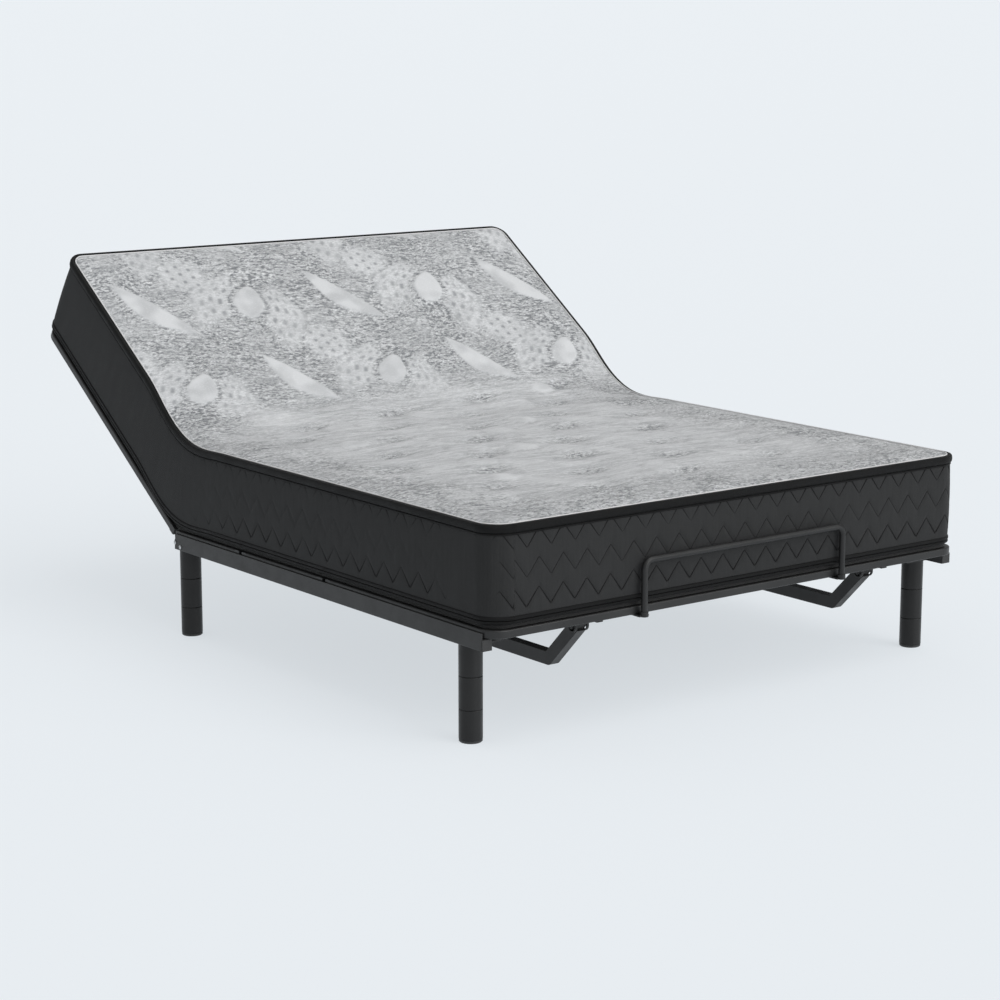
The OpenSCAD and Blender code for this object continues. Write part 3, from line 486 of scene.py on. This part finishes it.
def outline(half, low, high, radii, step):
    """Columns round a rounded oblong, from its foot end's left: edge point, outward direction, distance."""
    edges, outs, runs, run = [], [], [], 0.0
    foot, head = radii
    corners = ((half - foot, low + foot, foot, -90), (half - head, high - head, head, 0),
               (head - half, high - head, head, 90), (foot - half, low + foot, foot, 180))
    for index, (x, y, radius, begin) in enumerate(corners):
        last_x, last_y, last_radius, _ = corners[index - 1]
        away = math.radians(begin)
        out = np.array([math.cos(away), math.sin(away)])
        first = np.array([last_x, last_y]) + out * last_radius
        last = np.array([x, y]) + out * radius
        length = np.linalg.norm(last - first)
        count = max(2, round(length / step))
        share = np.linspace(0, 1, count, endpoint=False)[:, None]
        edges.append(first + (last - first) * share)
        outs.append(np.tile(out, (count, 1)))
        runs.append(run + length * share[:, 0])
        run += length
        arc = radius * math.pi / 2
        count = max(4, round(arc / step))
        turned = away + np.linspace(0, 1, count, endpoint=False) * math.pi / 2
        outward = np.column_stack([np.cos(turned), np.sin(turned)])
        edges.append(np.array([x, y]) + outward * radius)
        outs.append(outward)
        runs.append(run + arc * np.linspace(0, 1, count, endpoint=False))
        run += arc
    return np.concatenate(edges), np.concatenate(outs), np.concatenate(runs)


def band(half, low, high, radii, step, profile):
    """A closed band round the bed. profile(along, run) gives outward offsets and heights, row by row."""
    edges, outs, runs = outline(half, low, high, radii, step)
    offsets, heights = profile(edges[:, 1], runs)
    points = edges[None] + outs[None] * offsets[:, :, None]
    flat = np.concatenate([points, heights[:, :, None]], axis=2).reshape(-1, 3)
    wrap = np.stack([np.broadcast_to(runs, heights.shape), heights, np.zeros_like(heights)], axis=2)
    return flat, grid_faces(len(heights), len(runs), closed=True), {"wrap": wrap.reshape(-1, 3)}


def sheet_rows(half, low, high, radii, step, inset):
    """Points of a grid that fills a rounded oblong: its outer columns follow the corners."""
    turn = np.linspace(math.pi / 2, 0, 14)[:-1]
    foot, head = radii
    count = round((high - low - foot - head) / step)
    straight = np.linspace(low + foot, high - head, count + 1)
    along = np.concatenate([low + foot - (foot - inset) * np.sin(turn), straight,
                            high - head + (head - inset) * np.sin(turn[::-1])])
    reach = np.concatenate([half - foot + (foot - inset) * np.cos(turn), np.full(count + 1, half - inset),
                            half - head + (head - inset) * np.cos(turn[::-1])])
    across = np.linspace(-1, 1, round(2 * half / step) + 1)
    return np.outer(reach, across), np.repeat(along[:, None], len(across), axis=1)


def edge_distance(x, y, half, low, high, radii):
    """How far inside a rounded oblong each point lies."""
    radius = np.where(y < (low + high) / 2, *radii)
    dx = np.abs(x) - (half - radius)
    dy = np.abs(y - (low + high) / 2) - ((high - low) / 2 - radius)
    outside = np.hypot(np.maximum(dx, 0), np.maximum(dy, 0))
    return radius - outside - np.minimum(np.maximum(dx, dy), 0)


# The knit's motifs repeat on two interleaved oblongs. Places are across and up from the head hinge.
REPEAT = (0.563, 0.608)
SHIFTED = (0.2815, -0.304)
LEAF_AT = (-0.556, 0.528)
OVAL_AT = (-0.278, 0.531)
DOTS_AT = (-0.135, 0.352)


# Centres of the smooth spots: across, and along from the thigh hinge.
PALE_SPOTS = ((-0.381, -0.032), (0.141, 0.0), (0.413, 0.344), (-0.092, -0.306), (-0.355, -0.583))


def nearest(x, y, at):
    """Offsets from each point to the nearest repeat of a motif, on either oblong."""
    best = None
    for dx, dy in ((0, 0), SHIFTED):
        across = (x - at[0] - dx + REPEAT[0] / 2) % REPEAT[0] - REPEAT[0] / 2
        along = (y - HEAD.y - at[1] - dy + REPEAT[1] / 2) % REPEAT[1] - REPEAT[1] / 2
        if best is None:
            best = across, along
        else:
            nearer = np.hypot(across, along) < np.hypot(*best)
            best = np.where(nearer, across, best[0]), np.where(nearer, along, best[1])
    return best


def motifs(x, y):
    """How smooth each point of the knit is, how much of a dark dot, and how raised."""
    across, along = nearest(x, y, LEAF_AT)
    length, width = 0.132, 0.036
    tilt = math.atan2(-0.202, 0.146)
    run = across * math.cos(tilt) + along * math.sin(tilt)
    side = -across * math.sin(tilt) + along * math.cos(tilt) + 0.012 * np.cos(run / length * 2.2)
    leaf = smooth((width * (1 - np.minimum(np.abs(run) / length, 1) ** 2) - np.abs(side)) / 0.010 + 0.3)
    across, along = nearest(x, y, OVAL_AT)
    run = across * 0.465 + along * 0.885
    side = across * 0.885 - along * 0.465
    width = 0.040 * (1 - 0.38 * np.clip(run / 0.066, 0, 1.6))
    ring = np.hypot(side / np.maximum(width, 0.008), run / 0.064)
    oval = smooth((1.15 - ring) / 0.30)
    dots = np.zeros_like(x)
    sides = smooth((np.abs(side) / np.hypot(side, run + 1e-6) - 0.45) / 0.25)
    for number in range(1, 5):
        rail = 1.30 + number * 0.62
        strip = smooth(1.25 - np.abs(ring - rail) / 0.20)
        angle = np.arctan2(run / 0.064, side / 0.035)
        dash = smooth(np.cos(angle * round(rail * 9)) * 1.5 + 0.2)
        dots = np.maximum(dots, strip * dash * sides * (1.1 - 0.15 * number))
    halo = sides * smooth((4.2 - ring) / 0.6) * smooth((ring - 1.3) / 0.3)
    across, along = nearest(x, y, DOTS_AT)
    reach = np.hypot(across, along)
    disc = smooth((0.085 - reach) / 0.04)
    row = 0.030
    spot_x = (across + row / 2) % row - row / 2
    spot_y = (along + row / 2 + row / 2 * (np.floor(across / row + 0.5) % 2)) % row - row / 2
    spots = smooth((0.0085 - np.hypot(spot_x, spot_y)) / 0.005) * disc
    calm = np.maximum(np.maximum(leaf, oval), np.maximum(0.6 * disc, 0.55 * halo))
    return np.clip(calm, 0, 1), np.clip(np.maximum(dots, spots), 0, 1), np.maximum(leaf, oval)


DIMPLE_STEP = (0.282, 0.150)
DIMPLE_SIZE = (0.056, 0.032)


def dimples(x, y):
    """Shallow dimples in slanting rows, each row shifted against the last."""
    slant, first, shift = 0.12, 0.009, 0.44
    u = (x + first + (y - THIGH.y) * slant) / DIMPLE_STEP[0]
    v = ((y - THIGH.y) - x * slant) / DIMPLE_STEP[1]
    u = u - shift * np.round(v)
    du = (u - np.round(u)) * DIMPLE_STEP[0]
    dv = (v - np.round(v)) * DIMPLE_STEP[1]
    return np.exp(-(du / DIMPLE_SIZE[0]) ** 2 - (dv / DIMPLE_SIZE[1]) ** 2)


def pale_spots(x, y):
    """A few round smooth spots on the flat part, higher than the knit round them."""
    found = np.zeros_like(x)
    for across, along in PALE_SPOTS:
        away = np.hypot(x - across, y - THIGH.y - along)
        found = np.maximum(found, smooth((0.044 - away) / 0.024))
    return found


def mattress_top():
    """The knit top with its crown, dimples and raised motifs."""
    inset = 0.004
    ends = (BED_HALF, FOOT_END, HEAD_END, CORNERS)
    x, y = sheet_rows(*ends, 0.0052, inset)
    inside = edge_distance(x, y, *ends)
    calm, dots, raised = motifs(x, y)
    on_head = smooth((y - (HEAD.y + 0.02)) / 0.2)
    near_edge = 1 - smooth((inside - 0.08) / 0.22)
    dent = dimples(x, y) * smooth((inside - 0.05) / 0.12)
    wave = np.sin(x * 9.1 + np.sin(y * 5.3) * 1.4) * np.sin(y * 7.7 + np.sin(x * 4.1))
    height = edge_height(y) + CROWN * (1 - np.exp(-np.maximum(inside - inset, 0) / 0.035))
    height += 0.0022 * wave * smooth((inside - 0.04) / 0.1) * (1 - 0.6 * on_head)
    height -= dent * (0.0095 - 0.0080 * on_head)
    spots = pale_spots(x, y)
    raised = np.maximum(raised * (0.25 + 0.75 * on_head), spots)
    height += raised * 0.0040 * smooth((inside - 0.01) / 0.02)
    # Dark flecks: the knit's own pattern on the head and near the edge, and painted shade in the dimples, where
    # added flecks darken the hollows.
    fleck_and_dimple_shade = np.maximum(on_head, np.maximum(near_edge, 0.10 + 1.2 * dent))
    calm = np.maximum(calm * (0.25 + 0.75 * on_head), spots)
    stored = {"calm": calm.ravel(), "dots": (dots * np.maximum(on_head, 0.35 * near_edge)).ravel(),
              "fleck": np.clip(fleck_and_dimple_shade, 0, 1).ravel()}
    flat = np.column_stack([x.ravel(), y.ravel(), height.ravel()])
    return flat, grid_faces(*x.shape), stored


ZIGZAG = 0.063
SWING = 0.041
ROW_GAP = 0.062
ROW_MIDDLE = 0.113
BORDER_LOW = 0.014


def zigzag(run):
    """-1 to 1 and back along the border."""
    return 2 * np.abs(2 * ((run / ZIGZAG) % 1) - 1) - 1


def stitch_strength(along, run, row):
    """How deeply a stitch row is pulled in: clear at the foot end, fading at corners and to the head."""
    foot_end = 1 - smooth((along - FOOT_END - 0.001) / 0.020)
    side = 0.42 * (1 - smooth((along - (THIGH.y - 0.10)) / 0.40)) + 0.05
    strength = foot_end + side * smooth((along - FOOT_END - 0.11) / 0.12)
    patchy = 0.75 + 0.25 * np.sin(run * 5.1 + row * 2.4) * np.sin(run * 1.7 + row)
    return strength * patchy * (0.5 if row == 1 else 1.0)


def mattress_border():
    """The border cloth with its zigzag quilting, the threads that pull it in, and the mattress's underside."""
    rows = 60
    share = np.linspace(0, 1, rows)[:, None]

    def profile(along, run):
        top = edge_height(along) - 0.010
        height = BORDER_LOW + (top - BORDER_LOW)[None] * share
        offset = 0.0025 * np.sin(math.pi * share) ** 0.7 * np.ones_like(height)
        for row in (-1, 0, 1):
            line = ROW_MIDDLE + row * ROW_GAP + SWING / 2 * zigzag(run)
            away = np.abs(height - line[None]) * 0.578
            strength = stitch_strength(along, run, row)[None]
            groove = 0.0017 * np.exp(-(away / 0.0034) ** 2) + 0.0007 * np.exp(-(away / 0.010) ** 2)
            offset -= strength * groove
        return offset, height

    shape = band(BED_HALF, FOOT_END, HEAD_END, CORNERS, STEP, profile)
    threads = [border_thread(row) for row in (-1, 0, 1)]
    bottom_x, bottom_y = sheet_rows(BED_HALF, FOOT_END, HEAD_END, CORNERS, 0.03, 0.006)
    bottom = np.column_stack([bottom_x.ravel(), bottom_y.ravel(), np.full(bottom_x.size, 0.002)])
    return join(shape, *threads, (bottom, grid_faces(*bottom_x.shape)[:, ::-1], {}))


def border_thread(row):
    """One stitch row's thread: a thin round cord along the zigzag, which sinks in where the row fades."""
    edges, outs, runs = outline(BED_HALF, FOOT_END, HEAD_END, CORNERS, 0.0034)
    along = edges[:, 1]
    height = ROW_MIDDLE + row * ROW_GAP + SWING / 2 * zigzag(runs)
    top = edge_height(along) - 0.014
    strength = stitch_strength(along, runs, row)
    depth = 0.0022 - 0.0022 * strength - 0.0020 * (1 - np.clip(strength * 1.8, 0, 1))
    depth = np.where((height > top) | (height < BORDER_LOW + 0.002), -0.006, depth)
    centre = np.column_stack([edges + outs * depth[:, None], np.minimum(height, top)])
    ahead = np.roll(centre, -1, axis=0) - np.roll(centre, 1, axis=0)
    ahead /= np.linalg.norm(ahead, axis=1)[:, None]
    out = np.column_stack([outs, np.zeros(len(outs))])
    side = np.cross(ahead, out)
    sides, radius = 5, 0.0009
    rings = [centre + radius * (math.cos(turn) * out + math.sin(turn) * side)
             for turn in np.linspace(0, 2 * math.pi, sides, endpoint=False)]
    points = np.stack(rings, axis=0).reshape(-1, 3)
    count = len(centre)
    ring, column = np.meshgrid(np.arange(sides), np.arange(count), indexing="ij")
    next_ring, next_column = (ring + 1) % sides, (column + 1) % count
    faces = np.stack([(ring * count + column).ravel(), (ring * count + next_column).ravel(),
                      (next_ring * count + next_column).ravel(), (next_ring * count + column).ravel()], axis=1)
    return points, faces, {"thread": np.ones(len(points))}


def tape_profile(height_at, tall, proud, tuck, rim=False):
    """A rounded ribbon of a given height whose edges tuck into the cloth."""
    turns = np.linspace(-math.pi / 2, math.pi / 2, 9)
    offsets = [proud * math.cos(turn) ** 0.6 for turn in turns]
    rises = [tall / 2 * math.sin(turn) for turn in turns]
    offsets = [-tuck] + offsets + [-tuck]
    rises = [rises[0] + 0.0005] + rises + [rises[-1] - 0.0005]

    def profile(along, _run):
        middle = height_at(along)[None]
        rows = np.array(rises)[:, None] + middle
        return np.array(offsets)[:, None] * np.ones_like(rows), rows

    return profile


def mattress_tapes():
    """Edge tapes: a wide one with a pale rim under the top, and two narrow ones at the bottom."""
    ends = (BED_HALF, FOOT_END, HEAD_END, CORNERS, 0.008)
    parts = [
        band(*ends, tape_profile(lambda y: edge_height(y) - 0.0070, 0.0180, 0.0055, 0.007)),
        band(*ends, tape_profile(lambda y: edge_height(y) - 0.0188, 0.0045, 0.0026, 0.004)),
        band(*ends, tape_profile(lambda y: np.full_like(y, 0.0125), 0.0085, 0.0024, 0.004)),
        band(*ends, tape_profile(lambda y: np.full_like(y, 0.0045), 0.0060, 0.0018, 0.004)),
    ]

    def rim_profile(along, _run):
        turns = np.linspace(0, 2 * math.pi, 7)
        middle = edge_height(along)[None] + 0.0020
        rows = 0.0017 * np.sin(turns)[:, None] + middle
        return (-0.0078 + 0.0017 * np.cos(turns))[:, None] * np.ones_like(rows), rows

    rim = band(*ends, rim_profile)
    rim[2]["rim"] = np.ones(len(rim[0]))
    return join(*parts, rim)


def deck_cloth():
    """The deck pads' black cover, from one end of the bed to the other."""
    thick = PAD_TOP - PAD_BOTTOM
    low, high, radii = FOOT_END + 0.009, HEAD_END - 0.009, (0.040, 0.034)
    turns = np.linspace(-math.pi / 2, math.pi / 2, 9)

    def profile(_along, run):
        rows = -thick / 2 + thick / 2 * np.sin(turns)[:, None] * np.ones_like(run)[None]
        return -0.004 + 0.004 * np.cos(turns)[:, None] * np.ones_like(run)[None], rows

    side = band(PAD_HALF, low, high, radii, 0.012, profile)
    x, y = sheet_rows(PAD_HALF, low, high, radii, 0.012, 0.004)
    top = np.column_stack([x.ravel(), y.ravel(), np.zeros(x.size)])
    under = top - [0, 0, thick]
    return join(side, (top, grid_faces(*x.shape), {}), (under, grid_faces(*x.shape)[:, ::-1], {}))


MATTRESS_NODES = (("mattress_head", "mattress_seat"), ("mattress_thigh",), ("mattress_foot",))
PAD_NODES = (("head_pad", "seat_pad"), ("thigh_pad",), ("foot_pad",))
soft_pieces("mattress_top", mattress_top(), "mattress_knit", MATTRESS_NODES)
soft_pieces("mattress_border", mattress_border(), "mattress_border")
soft_pieces("mattress_tape", mattress_tapes(), "mattress_piping")
soft_pieces("deck_cloth", deck_cloth(), "deck_fabric", PAD_NODES, bridge=0.0, spread=0.22)

# ---------- Floor, sky and lights ----------


FLOOR_HALF = 3000


def floor():
    """A plain pale floor that runs to the horizon."""
    corners = FLOOR_HALF * np.array([[-1, -1, 0], [1, -1, 0], [1, 1, 0], [-1, 1, 0]], float)
    mesh = new_mesh("floor", corners, np.array([[0, 1, 2, 3]]))
    s = Shade("floor")
    s.set(Base_Color=(0.20, 0.205, 0.21, 1), Roughness=0.9, Emission_Color=(0.60, 0.635, 0.665, 1),
          Emission_Strength=1.0)
    mesh.materials.append(s.material)
    made = bpy.data.objects.new("floor", mesh)
    bpy.context.scene.collection.objects.link(made)


def sky():
    """Soft studio light: bright above, dimmer at the sides. What is seen of it is a plain pale backdrop."""
    world = bpy.data.worlds.new("sky")
    world.use_nodes = True
    bpy.context.scene.world = world
    tree = world.node_tree
    background = tree.nodes["Background"]
    place = tree.nodes.new("ShaderNodeTexCoord")
    split = tree.nodes.new("ShaderNodeSeparateXYZ")
    ramp = tree.nodes.new("ShaderNodeValToRGB")
    tree.links.new(place.outputs["Generated"], split.inputs[0])
    tree.links.new(split.outputs["Z"], ramp.inputs["Fac"])
    ramp.color_ramp.elements[0].color = (0.42, 0.44, 0.46, 1)
    ramp.color_ramp.elements[1].color = (1.0, 1.0, 1.0, 1)
    ramp.color_ramp.elements[1].position = 0.7
    tree.links.new(ramp.outputs["Color"], background.inputs["Color"])
    background.inputs["Strength"].default_value = 0.62
    backdrop = tree.nodes.new("ShaderNodeBackground")
    backdrop.inputs["Color"].default_value = (0.815, 0.863, 0.896, 1)
    seen = tree.nodes.new("ShaderNodeLightPath")
    both = tree.nodes.new("ShaderNodeMixShader")
    tree.links.new(seen.outputs["Is Camera Ray"], both.inputs[0])
    tree.links.new(background.outputs[0], both.inputs[1])
    tree.links.new(backdrop.outputs[0], both.inputs[2])
    tree.links.new(both.outputs[0], tree.nodes["World Output"].inputs["Surface"])


def sun(name, strength, softness, from_azimuth, from_height):
    """A very soft sun from a direction, in degrees round from +Y and up from the floor."""
    light = bpy.data.lights.new(name, "SUN")
    light.energy = strength
    light.angle = math.radians(softness)
    made = bpy.data.objects.new(name, light)
    made.rotation_euler = (math.radians(90 - from_height), 0, math.radians(180 - from_azimuth))
    bpy.context.scene.collection.objects.link(made)


floor()
sky()
sun("key", 0.9, 50, 160, 62)
sun("front", 1.5, 50, 160, 14)
